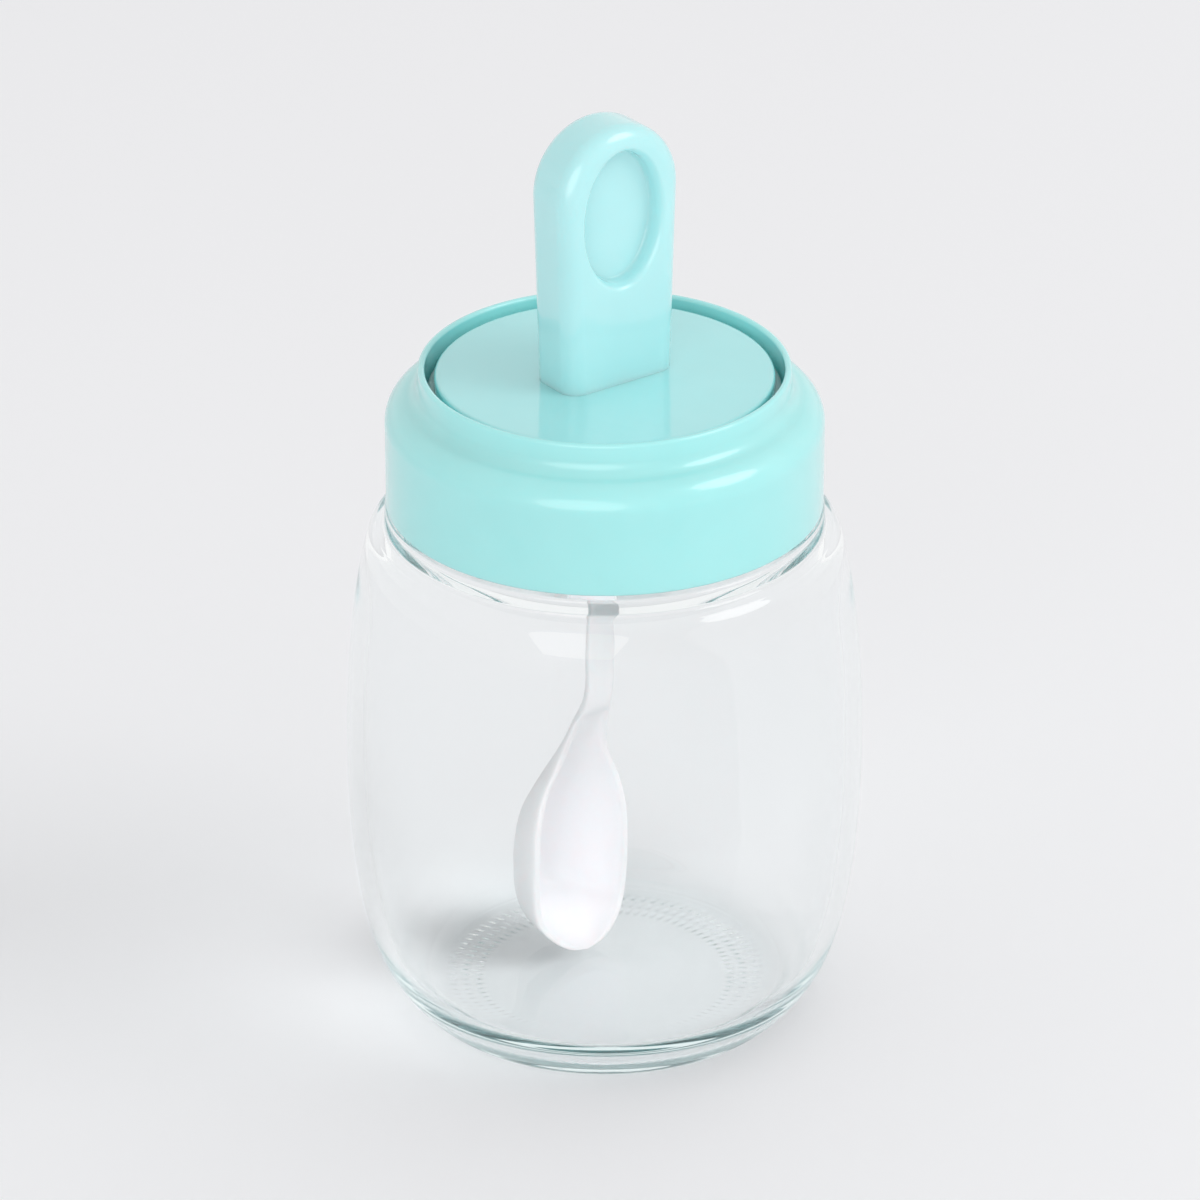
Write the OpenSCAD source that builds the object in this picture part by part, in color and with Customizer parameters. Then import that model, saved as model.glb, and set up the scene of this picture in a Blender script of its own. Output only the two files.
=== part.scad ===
// Jam pot: a round glass jar, a plastic collar that screws onto its neck, and a lid that lifts out of
// the collar, with an upright grip above it and a spoon below. Sizes are in millimetres and +Z is up.
// The origin is on the jar's axis, in the plane that the jar stands on.

/* [Jar] */
// Radius of the jar at its widest
jar_r = 39.5; // [38:0.5:44]
// Height of the shoulder, where the body ends just under the collar
shoulder_h = 83.5; // [76:0.5:100]
// Thickness of the glass wall
jar_wall = 2.6; // [2:0.1:3]
// Thickness of the glass under the jam
floor_t = 3.7; // [3.5:0.1:6]
// Height over which the inside wall rounds into the floor
heel_h = 11; // [8:0.5:16]
// Radius of the hollow under the base, inside the ring that the jar stands on
punt_r = 19.3; // [15:0.1:22]
// Height of the hollow under the base
punt_h = 1.6; // [0.8:0.1:2.5]
// Outside radius of the neck between its threads
neck_r = 29.9; // [28:0.1:31]
// Height from the shoulder to the rim
neck_h = 15.3; // [14:0.1:18]
// Radius of the rim's rounded edges
rim_edge_r = 0.9; // [0.5:0.1:1]
// Radial width of the turn from the shoulder into the neck
turn_w = 3; // [2:0.1:3.5]
// Height of the turn from the shoulder into the neck
turn_h = 2.7; // [2:0.1:3.5]

/* [Thread] */
// Rise of the thread in one turn
thread_pitch = 4.2; // [4:0.1:4.8]
// Turns of each thread
thread_turns = 1.25; // [1:0.05:1.5]
// Height of each thread's ridge above its wall
thread_h = 1.3; // [1:0.1:1.5]
// Half of a ridge's width at its wall
thread_root_half = 1.05; // [0.9:0.05:1.2]
// Half of a ridge's width at its crest
thread_crest_half = 0.45; // [0.3:0.05:0.6]
// Distance from the rim down to the top of the jar's thread
thread_drop = 2.6; // [2.2:0.1:3.2]

/* [Collar] */
// Thickness of the collar's skirt
collar_wall = 1.5; // [1.2:0.1:2]
// Space between the jar's shoulder and the collar's lower edge
collar_gap = 1; // [0.5:0.1:2]
// Radius of the collar's rounded shoulder
collar_shoulder_r = 4.2; // [3.6:0.1:4.6]
// Height of the lip above the collar's shoulder
lip_h = 4.8; // [4.2:0.1:5.4]
// Thickness of the ledge that the lid rests on
ledge_t = 1.8; // [1.4:0.1:2.4]
// Depth of the well, from the lip's top down to the ledge
well_depth = 4.8; // [4.2:0.1:5.2]
// Thickness of the raised lip round the well
lip_wall = 1.05; // [0.9:0.05:1.6]
// Radius of the hollow curve where the lip meets the shoulder
lip_fillet_r = 2.4; // [0.8:0.1:2.6]

/* [Seals] */
// Thickness of the gasket on the jar's rim
gasket_t = 1.2; // [0.8:0.1:1.6]
// Thickness of the ring under the lid
seal_t = 1.5; // [1.2:0.05:1.7]

/* [Lid] */
// Radius of the disc
disc_r = 25.5; // [24.8:0.1:26]
// Thickness of the disc
disc_t = 2.2; // [1.6:0.1:2.6]
// Radius of the disc's rounded top edge
disc_edge_r = 0.6; // [0.3:0.1:0.9]
// Outside radius of the plug under the disc
plug_r = 22; // [21:0.1:22.4]
// Height of the plug, from the disc down
plug_h = 9.2; // [7:0.1:12]
// Thickness of the plug's walls
plug_wall = 1.6; // [1.2:0.1:2]
// Radius of the plug's middle boss
boss_r = 6.6; // [6.2:0.1:8]

/* [Grip] */
// Width of the grip at its foot
grip_foot_w = 19.5; // [17:0.1:20.5]
// Width of the grip at its rounded top
grip_w = 21.5; // [21:0.1:24]
// Thickness of the grip
grip_t = 10; // [9:0.1:13]
// Height of the grip above the disc
grip_h = 40.7; // [40.7:0.1:48]
// Radius of the grip's rounded edges
grip_edge_r = 2.8; // [1.5:0.1:2.8]
// Width of the hollow in each broad face
hollow_w = 15.3; // [11:0.1:15.4]
// Height of the hollow in each broad face
hollow_h = 22.9; // [16:0.1:22.9]
// Depth of the hollow in each broad face
hollow_d = 2.8; // [1.5:0.1:3.4]
// Height of the hollow's middle above the disc
hollow_mid_h = 26.4; // [22:0.1:26.4]
// Radius of the tenon that joins the grip to the disc and the plug
tenon_r = 4.5; // [4:0.1:5]

/* [Spoon] */
// Width of the spoon's bowl
bowl_w = 18.8; // [14:0.2:22]
// Length of the spoon's bowl
bowl_l = 41; // [34:0.5:44]
// Depth of the spoon's bowl, to the outside of its back
bowl_d = 12; // [7:0.5:13]
// Thickness of the bowl's wall
bowl_wall = 1.3; // [1:0.1:1.6]
// Height of the spoon's tip above the jar's floor
tip_gap = 1; // [0.8:0.1:4]
// How far the bowl's rim lies behind the stem
bowl_set = 6.3; // [3:0.1:8]
// Width of the stem
stem_w = 4.8; // [3.5:0.1:5]
// Thickness of the stem
stem_t = 2.6; // [1.8:0.1:3]
// Radius of the flange that meets the grip's tenon
flange_r = 4.2; // [3.5:0.1:4.4]
// Thickness of the flange
flange_t = 1.4; // [1:0.1:2]
// Radius of the root that is pushed into the grip's tenon
root_r = 2.4; // [2:0.1:2.8]
// Length of the root
root_l = 12; // [8:0.5:14]

/* [Clearances] */
// Radial space between a thread's crest and the wall that faces it
thread_clear = 0.3; // [0.2:0.05:0.4]
// Space between the flanks of the two threads when the collar is tight
flank_clear = 0.15; // [0.1:0.05:0.3]
// Radial space round the disc in the well
disc_clear = 1.4; // [1:0.05:2]
// Radial space round the jar's rim in the collar's seat
seat_clear = 0.55; // [0.4:0.05:0.8]
// Radial space round the plug in the ledge's opening
plug_clear = 0.5; // [0.3:0.05:0.8]
// Radial space between the seal's bead and the well's wall
seal_clear = 0.35; // [0.2:0.05:0.5]
// Radial space in a push fit, and round a ring on what it encircles
fit_clear = 0.05; // [0.03:0.01:0.1]

/* [Hidden] */
$fn = 128;

AQUA = [0.64, 0.89, 0.87];
AQUA_PALE = [0.7, 0.91, 0.91];
GLASS = [0.86, 0.93, 0.93, 0.4];
SILICONE = [0.78, 0.86, 0.85, 0.8];
WHITE = [0.95, 0.95, 0.95];

// How far a shape runs into the one that it is joined to or cut from
overrun = 0.4;
// Steps in a rounded corner, in one span of a smooth curve, and in one turn of a thread
corner_steps = 6;
span_steps = 4;
turn_steps = 72;
// Length over which a thread rises from its wall at each end, as a share of one turn
thread_fade_share = 0.06;

// Heights of what is stacked up, from the table to the top
mouth_r = neck_r - jar_wall;
neck_z = shoulder_h + turn_h;
rim_z = shoulder_h + neck_h;
gasket_top_z = rim_z + gasket_t;
ledge_z = gasket_top_z + ledge_t;
lip_z = ledge_z + well_depth;
disc_z = ledge_z + seal_t;
disc_top_z = disc_z + disc_t;
collar_z = shoulder_h + collar_gap;

// Radii of the collar, which follow from the neck and from the disc
skirt_in_r = neck_r + thread_h + thread_clear;
collar_r = skirt_in_r + collar_wall;
seat_r = neck_r + seat_clear;
well_r = disc_r + disc_clear;
lip_r = well_r + lip_wall;
ledge_in_r = plug_r + plug_clear;
collar_edge_r = collar_wall / 4;

// Outside of the jar's body from the table up, as shares of jar_r and shoulder_h
body_shares = [
    [0.684, 0], [0.739, 0.012], [0.793, 0.036], [0.849, 0.072], [0.899, 0.12], [0.942, 0.19],
    [0.975, 0.287], [0.995, 0.407], [1, 0.539], [0.99, 0.67], [0.967, 0.79], [0.936, 0.886],
    [0.903, 0.952], [0.867, 0.985]
];
// The turn into the neck, as shares of turn_w beyond the neck and of turn_h above the shoulder
turn_shares = [[1, 0], [0.45, 0.34], [0.13, 0.66], [0, 1]];
// The inside's turn into the floor, as shares of the inside radius and of heel_h above the floor
heel_shares = [[0, 0], [0.3, 0], [0.58, 0], [0.74, 0.1], [0.84, 0.36], [0.9, 0.7]];
// The hollow under the base, as shares of punt_r and of punt_h
punt_shares = [[0, 1], [0.5, 1], [0.82, 0.94], [0.93, 0.6], [1, 0]];

// Point at share t of the smooth curve's span from b to c, with neighbours a and d
function span_point(a, b, c, d, t) =
    (2 * b + (c - a) * t + (2 * a - 5 * b + 4 * c - d) * t * t + (3 * b - 3 * c + d - a) * t * t * t) / 2;

// Smooth curve through a list of points, with n steps in each span
function smooth(p, n = span_steps) = concat(
    [for (i = [0 : len(p) - 2], k = [0 : n - 1])
        span_point(p[max(i - 1, 0)], p[i], p[i + 1], p[min(i + 2, len(p) - 1)], k / n)],
    [p[len(p) - 1]]);

// Points of an arc about c from angle a0 to angle a1
function arc(c, r, a0, a1) =
    [for (k = [0 : corner_steps]) let (a = a0 + (a1 - a0) * k / corner_steps) c + r * [cos(a), sin(a)]];

// A list back to front
function back_to_front(p) = [for (i = [len(p) - 1 : -1 : 0]) p[i]];

// Outward direction of a curve of points at its i-th point
function outward(p, i) =
    let (d = p[min(i + 1, len(p) - 1)] - p[max(i - 1, 0)]) [d[1], -d[0]] / norm(d);

// Stations of the jar's outside, and of its inside one wall further in
outer_stations = concat(
    [for (s = body_shares) [s[0] * jar_r, s[1] * shoulder_h]],
    [for (s = turn_shares) [neck_r + s[0] * turn_w, shoulder_h + s[1] * turn_h]]);
heel_top_z = floor_t + heel_h;
wall_stations = [for (i = [0 : len(outer_stations) - 2])
    let (p = outer_stations[i] - jar_wall * outward(outer_stations, i)) if (p[1] > heel_top_z) p];
inner_stations = concat(
    [for (s = heel_shares) [s[0] * (jar_r - jar_wall), floor_t + s[1] * heel_h]],
    wall_stations,
    [[mouth_r, neck_z + jar_wall / 2]]);

// Half of the jar's section, from the table up the outside and back down the inside
jar_section = concat(
    smooth(outer_stations),
    arc([neck_r - rim_edge_r, rim_z - rim_edge_r], rim_edge_r, 0, 90),
    arc([mouth_r + rim_edge_r, rim_z - rim_edge_r], rim_edge_r, 90, 180),
    back_to_front(smooth(inner_stations)),
    [for (s = punt_shares) [s[0] * punt_r, s[1] * punt_h]]);

// Faces that skin a list of rings of n points, each ring closed, with both ends capped
function skin_faces(rings, n) = concat(
    [[for (k = [0 : n - 1]) k]],
    [for (i = [0 : rings - 2], k = [0 : n - 1])
        let (a = i * n + k, b = i * n + (k + 1) % n) [a, a + n, b]],
    [for (i = [0 : rings - 2], k = [0 : n - 1])
        let (a = i * n + k, b = i * n + (k + 1) % n) [b, a + n, b + n]],
    [[for (k = [n - 1 : -1 : 0]) (rings - 1) * n + k]]);

// Helical ridge from the wall at wall_r out or in to crest_r, starting at angle 0 and height z
module thread_ridge(wall_r, crest_r, z) {
    side = sign(crest_r - wall_r);
    count = ceil(thread_turns * turn_steps);
    fade = thread_fade_share * turn_steps;
    rings = [for (i = [0 : count])
        let (
            a = 360 * thread_turns * i / count,
            rise = max(min(i, count - i, fade) / fade, thread_fade_share),
            top_r = wall_r + (crest_r - wall_r) * rise,
            foot_r = wall_r - side * overrun,
            foot = thread_root_half * rise,
            top = thread_crest_half * rise,
            mid = z + thread_pitch * a / 360,
            low = [[foot_r, -foot], [top_r, -top]],
            high = [[top_r, top], [foot_r, foot]]
        )
        for (p = side < 0 ? concat(low, high) : back_to_front(concat(low, high)))
            [p[0] * cos(a), p[0] * sin(a), mid + p[1]]];
    polyhedron(rings, skin_faces(count + 1, 4));
}

// Height of the lowest point of the jar's thread, and how far the collar's thread lies below it
thread_z = rim_z - thread_drop - thread_turns * thread_pitch;
thread_slope = (thread_root_half - thread_crest_half) / thread_h;
thread_step = 2 * thread_root_half - thread_slope * (thread_h + thread_clear) + flank_clear;

module glass_jar() {
    color(GLASS) {
        rotate_extrude() polygon(jar_section);
        thread_ridge(neck_r, neck_r + thread_h, thread_z);
    }
}

module rim_gasket() {
    color(SILICONE) translate([0, 0, rim_z]) difference() {
        cylinder(h = gasket_t, r = seat_r - fit_clear);
        translate([0, 0, -overrun]) cylinder(h = gasket_t + 2 * overrun, r = mouth_r);
    }
}

// The collar's rounded shoulder, and the hollow curve that joins it to the lip
shoulder_mid = [collar_r - collar_shoulder_r, lip_z - lip_h - collar_shoulder_r];
fillet_x = lip_r + lip_fillet_r;
fillet_reach = collar_shoulder_r + lip_fillet_r;
fillet_a = acos((fillet_x - shoulder_mid[0]) / fillet_reach);
fillet_mid = [fillet_x, shoulder_mid[1] + fillet_reach * sin(fillet_a)];

collar_section = concat(
    [[skirt_in_r, collar_z]],
    arc([collar_r - collar_edge_r, collar_z + collar_edge_r], collar_edge_r, -90, 0),
    arc(shoulder_mid, collar_shoulder_r, 0, fillet_a),
    arc(fillet_mid, lip_fillet_r, fillet_a - 180, -180),
    arc([lip_r - lip_wall / 2, lip_z - lip_wall / 2], lip_wall / 2, 0, 180),
    [[well_r, ledge_z]],
    arc([ledge_in_r + ledge_t / 4, ledge_z - ledge_t / 4], ledge_t / 4, 90, 180),
    [[ledge_in_r, gasket_top_z], [seat_r, gasket_top_z], [seat_r, rim_z], [skirt_in_r, rim_z - gasket_t]]);

module screw_collar() {
    color(AQUA) {
        rotate_extrude() polygon(collar_section);
        thread_ridge(skirt_in_r, skirt_in_r - thread_h, thread_z - thread_step);
    }
}

// The ring under the disc, with a bead round its edge that meets the collar's ledge
module lid_seal() {
    bead_r = seal_t / 2;
    bead_mid_r = well_r - seal_clear - bead_r;
    ring_in_r = plug_r + fit_clear;
    color(SILICONE) translate([0, 0, ledge_z]) rotate_extrude() union() {
        translate([ring_in_r, 0]) square([bead_mid_r - ring_in_r, seal_t]);
        translate([bead_mid_r, bead_r]) circle(bead_r);
    }
}

module lid_plug() {
    color(AQUA) translate([0, 0, disc_z - plug_h]) difference() {
        cylinder(h = plug_h, r = plug_r);
        difference() {
            translate([0, 0, -overrun]) cylinder(h = plug_h - plug_wall + overrun, r = plug_r - plug_wall);
            cylinder(h = plug_h, r = boss_r);
        }
        translate([0, 0, -overrun]) cylinder(h = plug_h + 2 * overrun, r = tenon_r + fit_clear);
    }
}

module lid_disc() {
    color(AQUA_PALE) rotate_extrude() polygon(concat(
        [[tenon_r + fit_clear, disc_z], [disc_r, disc_z]],
        arc([disc_r - disc_edge_r, disc_top_z - disc_edge_r], disc_edge_r, 0, 90),
        [[tenon_r + fit_clear, disc_top_z]]));
}

// The grip's outline. Its sides lean out by side_a from the foot and run into the round top.
grip_top_r = grip_w / 2;
grip_arch_h = grip_h - grip_top_r;
grip_foot_reach = norm([grip_arch_h, grip_foot_w / 2]);
side_a = asin(grip_top_r / grip_foot_reach) - atan2(grip_foot_w / 2, grip_arch_h);
// Points along half of the foot, along one side, and along half of the top
foot_points = 4;
side_points = 8;
arch_points = 14;

// Half of the outline, moved in by inset, from the foot's middle to the top's middle
function half_outline(inset) =
    let (
        r = grip_top_r - inset,
        corner = [(r - grip_arch_h * sin(side_a)) / cos(side_a), 0],
        meet = [r * cos(side_a), grip_arch_h - r * sin(side_a)]
    )
    concat(
        [for (k = [0 : foot_points - 1]) corner * k / foot_points],
        [for (k = [0 : side_points - 1]) corner + (meet - corner) * k / side_points],
        [for (k = [0 : arch_points])
            let (a = -side_a + (90 + side_a) * k / arch_points) [0, grip_arch_h] + r * [cos(a), sin(a)]]);

// The whole outline, once round
function grip_outline(inset) =
    let (half = half_outline(inset), n = len(half))
    concat(half, [for (i = [n - 2 : -1 : 1]) [-half[i][0], half[i][1]]]);

// Points of the hollow's oval, moved in by inset, each on the line from its middle to an outline point
function hollow_ring(inset) =
    let (a = hollow_w / 2 - inset, b = hollow_h / 2 - inset, mid = [0, hollow_mid_h])
    [for (p = grip_outline(grip_edge_r))
        let (d = (p - mid) / norm(p - mid)) mid + d / norm([d[0] / a, d[1] / b])];

// The hollow's wall: a rounded rim, then a turn into the floor. Their widths, and the rim's depth, are
// shares of the hollow's depth.
rim_turn_share = 0.36;
rim_depth_share = 0.6;
floor_turn_share = 0.16;
rim_turn_w = hollow_d * rim_turn_share;
rim_turn_d = hollow_d * rim_depth_share;
floor_turn_w = hollow_d * floor_turn_share;
floor_turn_d = hollow_d - rim_turn_d;
wall_steps = 5;

// One face of the grip as rings [points, depth below the face], from the hollow's floor outwards
face_rings = concat(
    [[hollow_ring((hollow_w - rim_turn_w) / 2), hollow_d]],
    [for (k = [wall_steps : -1 : 0]) let (a = 90 * k / wall_steps)
        [hollow_ring(rim_turn_w + floor_turn_w * (1 - cos(a))), rim_turn_d + floor_turn_d * sin(a)]],
    [for (k = [wall_steps - 1 : -1 : 0]) let (a = 90 * k / wall_steps)
        [hollow_ring(rim_turn_w * sin(a)), rim_turn_d * (1 - cos(a))]],
    [for (k = [0 : corner_steps]) let (a = 90 * k / corner_steps)
        [grip_outline(grip_edge_r * (1 - sin(a))), grip_edge_r * (1 - cos(a))]]);

module grip() {
    front = [for (f = face_rings) [for (p = f[0]) [p[0], f[1] - grip_t / 2, p[1]]]];
    back = [for (f = back_to_front(face_rings)) [for (p = f[0]) [p[0], grip_t / 2 - f[1], p[1]]]];
    rings = back_to_front(concat(front, back));
    tenon_l = disc_t + plug_h;
    color(AQUA) translate([0, 0, disc_top_z]) difference() {
        union() {
            polyhedron([for (r = rings) each r], skin_faces(len(rings), len(rings[0])));
            translate([0, 0, -tenon_l]) cylinder(h = tenon_l + overrun, r = tenon_r);
        }
        translate([0, 0, -tenon_l - overrun]) cylinder(h = root_l + 2 * overrun, r = root_r + fit_clear);
    }
}

// Heights along the spoon: its tip, the top of its bowl, and its flange
tip_z = floor_t + tip_gap;
bowl_top_z = tip_z + bowl_l;
flange_top_z = disc_z - plug_h;
flange_z = flange_top_z - flange_t;
stem_l = flange_z - bowl_top_z;

// Shape of the bowl from the tip up. The shares are of the bowl's length, of half its width, of its
// depth, of its rim's set behind the stem, and of the full depth of its hollow.
bowl_shares = [
    [0, 0.1, 0.22, 0.73, -0.03], [0.02, 0.38, 0.6, 0.73, 0.16], [0.078, 0.69, 0.93, 0.82, 0.66],
    [0.156, 0.9, 1.08, 0.97, 1], [0.28, 0.97, 1.12, 0.98, 1.12], [0.41, 0.97, 1.09, 0.96, 1.09],
    [0.545, 0.935, 0.91, 0.97, 0.89], [0.68, 0.79, 0.6, 0.99, 0.54], [0.815, 0.52, 0.36, 0.91, 0.28],
    [0.905, 0.43, 0.25, 0.74, 0.14], [1, 0.36, 0.2, 0.51, 0.04]
];
// Shape of the stem from there up, as shares of its length, of half its width, of its thickness and of
// the bowl's set. Its front bulges by stem_bulge_share of its thickness.
stem_shares = [
    [0.045, 1.13, 1.05, 0.43], [0.1, 1.03, 0.98, 0.33], [0.17, 1.01, 0.96, 0.28], [0.3, 1, 0.94, 0.27],
    [0.56, 1, 0.93, 0.2], [1, 1, 0.93, 0]
];
stem_bulge_share = 0.12;
stem_rim_share = 0.06;
// Steps in one span of the spoon's curve, and in half of a section's back
spoon_steps = 3;
section_steps = 6;

// Stations of the spoon: height, half width, depth, place of the front, hollow's depth, rim's width
spoon_stations = smooth(concat(
    [for (s = bowl_shares)
        let (w = s[1] * bowl_w / 2, d = s[2] * bowl_d)
        [tip_z + s[0] * bowl_l, w, d, s[3] * bowl_set, s[4] * (bowl_d - bowl_wall), min(bowl_wall, w / 2)]],
    [for (s = stem_shares)
        let (w = s[1] * stem_w / 2, front = s[3] * bowl_set - (1 - s[3]) * stem_t / 2)
        [bowl_top_z + s[0] * stem_l, w, s[2] * stem_t, front, -stem_bulge_share * stem_t, w * stem_rim_share]]),
    spoon_steps);

// One section of the spoon, from the middle of its back past one side, across the hollow, and round
function spoon_ring(s) =
    let (
        angles = [for (k = [0 : 2 * section_steps]) 90 * k / section_steps],
        behind = [for (a = angles) [s[1] * cos(a), s[3] + s[2] * sin(a), s[0]]],
        hollow = [for (a = back_to_front(angles)) [(s[1] - s[5]) * cos(a), s[3] + s[4] * sin(a), s[0]]]
    )
    concat(
        [for (k = [section_steps : 2 * section_steps]) behind[k]],
        hollow,
        [for (k = [0 : section_steps - 1]) behind[k]]);

module spoon() {
    rings = [for (s = spoon_stations) spoon_ring(s)];
    top = [for (p = rings[len(rings) - 1]) p + [0, 0, overrun]];
    all_rings = concat(rings, [top]);
    color(WHITE) {
        polyhedron([for (r = all_rings) each r], skin_faces(len(all_rings), len(top)));
        translate([0, 0, flange_z]) cylinder(h = flange_t, r = flange_r);
        translate([0, 0, flange_top_z - overrun]) cylinder(h = root_l + overrun, r = root_r);
    }
}

glass_jar();
rim_gasket();
screw_collar();
lid_seal();
lid_plug();
lid_disc();
grip();
spoon();
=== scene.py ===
import math

import bpy
import numpy as np
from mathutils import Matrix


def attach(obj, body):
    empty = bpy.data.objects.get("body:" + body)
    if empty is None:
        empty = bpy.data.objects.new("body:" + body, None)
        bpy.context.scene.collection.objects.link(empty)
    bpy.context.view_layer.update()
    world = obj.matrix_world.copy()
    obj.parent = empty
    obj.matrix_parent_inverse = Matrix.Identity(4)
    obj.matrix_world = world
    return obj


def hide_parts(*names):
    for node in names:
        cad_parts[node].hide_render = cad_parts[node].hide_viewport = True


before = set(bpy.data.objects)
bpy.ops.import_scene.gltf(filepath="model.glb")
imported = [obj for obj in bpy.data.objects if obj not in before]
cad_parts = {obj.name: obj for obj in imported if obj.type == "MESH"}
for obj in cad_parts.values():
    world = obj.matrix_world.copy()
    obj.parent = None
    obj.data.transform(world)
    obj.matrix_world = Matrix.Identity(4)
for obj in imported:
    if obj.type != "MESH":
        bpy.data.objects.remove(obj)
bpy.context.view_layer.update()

# ---- Glass jar --------------------------------------------------------------------------------------
# A blown jar of clear soda-lime glass with a thick floor, rounded walls, and a low step under a short neck.
# The mould leaves a coarse screw thread round the neck and rows of short ribs in the ring that it stands on.

JAR_R, SHOULDER_H, WALL, FLOOR_T, HEEL_H = 39.5, 83.5, 2.6, 3.7, 11.0
NECK_R, NECK_H, RIM_EDGE_R, NECK_FILLET_R = 29.9, 15.3, 0.9, 1.3
STEP_R, STEP_Z, STEP_TOP, STEP_EDGE_R, STEP_FILLET_R = 33.2, 80.9, 83.9, 0.6, 0.8
PUNT_H, PUNT_ROWS = 0.7, 24
RIB_IN_R, RIB_OUT_R, RIB_ROWS, RIB_COUNT, RIB_H, RIB_STEPS = 18.8, 25.6, 3, 92, 0.06, 6
THREAD_PITCH, THREAD_TURNS, THREAD_H, ROOT_HALF, CREST_HALF = 4.2, 1.25, 1.3, 1.05, 0.45
THREAD_DROP, RUN_OUT = 2.6, 0.06
JAR_COLUMNS = 220
RIM_Z = SHOULDER_H + NECK_H
MOUTH_R = NECK_R - WALL
THREAD_Z = RIM_Z - THREAD_DROP - THREAD_TURNS * THREAD_PITCH


def smooth_curve(points, steps):
    """A smooth curve that passes through the points, with a number of steps in each span."""
    p = np.array(points, float)
    out = []
    for i in range(len(p) - 1):
        a, b, c, d = p[max(i - 1, 0)], p[i], p[i + 1], p[min(i + 2, len(p) - 1)]
        for t in np.arange(steps) / steps:
            out.append((2 * b + (c - a) * t + (2 * a - 5 * b + 4 * c - d) * t**2
                        + (3 * b - 3 * c + d - a) * t**3) / 2)
    return [tuple(q) for q in out] + [tuple(p[-1])]


def arc(mid, radius, start, end, steps=8):
    """Points of an arc about mid, from one angle to another in degrees."""
    turns = np.radians(np.linspace(start, end, steps + 1))
    return [(mid[0] + radius * math.cos(a), mid[1] + radius * math.sin(a)) for a in turns]


def straight(start, end, step):
    """Points from start up to, but not including, end, about one step apart."""
    count = max(1, round(math.dist(start, end) / step))
    return [tuple(np.array(start) + (np.array(end) - np.array(start)) * k / count) for k in range(count)]


def new_piece(name, points, faces, crease=50):
    """A smooth-shaded object from points in millimetres, sharp only where faces meet past crease degrees."""
    mesh = bpy.data.meshes.new(name)
    mesh.from_pydata((np.array(points, float) * 0.001).tolist(), [], faces)
    mesh.validate()
    mesh.shade_smooth()
    mesh.set_sharp_from_angle(angle=math.radians(crease))
    made = bpy.data.objects.new(name, mesh)
    bpy.context.scene.collection.objects.link(made)
    return made


def turned_mesh(section, columns, first=0):
    """Points and faces of a section of (radius, height) turned about Z, with the material on the left of
    its path. It closes on itself, or runs from pole to pole where its ends have no radius. columns is one
    number, or one for each row, where a row may have three times the columns of the next."""
    counts = [columns] * len(section) if isinstance(columns, int) else columns
    rows, points = [], []
    for (r, z), n in zip(section, counts):
        n = 1 if r < 1e-6 else n
        rows.append((first + len(points), n))
        points += [(r * math.cos(a), r * math.sin(a), z) for a in 2 * math.pi * np.arange(n) / n]
    pairs = list(zip(rows, rows[1:]))
    if rows[0][1] > 1:
        pairs.append((rows[-1], rows[0]))
    faces = []
    for (low, n), (high, m) in pairs:
        if n == m:
            faces += [(low + k, low + (k + 1) % n, high + (k + 1) % n, high + k) for k in range(n)]
        elif n == 1:
            faces += [(low, high + (k + 1) % m, high + k) for k in range(m)]
        elif m == 1:
            faces += [(low + k, low + (k + 1) % n, high) for k in range(n)]
        elif m == 3 * n:
            for k in range(n):
                b, t = low + (k + 1) % n, [high + (3 * k + j) % m for j in range(4)]
                faces += [(low + k, t[1], t[0]), (low + k, b, t[2], t[1]), (b, t[3], t[2])]
        else:
            for k in range(m):
                b, t = [low + (3 * k + j) % n for j in range(4)], high + (k + 1) % m
                faces += [(b[0], b[1], high + k), (b[1], b[2], t, high + k), (b[2], b[3], t)]
    return points, faces


def add_node(tree, kind, inputs=None, **settings):
    """Adds a node. inputs maps an input's name or number to a value, to the output that feeds it, or to the
    node whose first output does."""
    made = tree.nodes.new(kind)
    for key, value in settings.items():
        setattr(made, key, value)
    for key, value in (inputs or {}).items():
        if isinstance(value, bpy.types.Node):
            value = value.outputs[0]
        if isinstance(value, bpy.types.NodeSocket):
            tree.links.new(value, made.inputs[key])
        else:
            made.inputs[key].default_value = value
    return made


def colour(text):
    """A linear colour from an sRGB hex value."""
    parts = [int(text[k:k + 2], 16) / 255 for k in (1, 3, 5)]
    return [p / 12.92 if p <= 0.04045 else ((p + 0.055) / 1.055) ** 2.4 for p in parts] + [1.0]


def run_tree(piece, tree, values):
    """Runs a Geometry Nodes tree on a piece with these values for its named inputs, and keeps the result
    as the piece's own plain mesh."""
    named = {item.name: item.identifier for item in tree.interface.items_tree if item.in_out == "INPUT"}
    step = piece.modifiers.new(tree.name, "NODES")
    step.node_group = tree
    for name, value in values.items():
        step[named[name]] = value
    piece.update_tag()
    seen = piece.evaluated_get(bpy.context.evaluated_depsgraph_get())
    shaped = bpy.data.meshes.new_from_object(seen)
    piece.modifiers.clear()
    piece.data = shaped


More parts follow.
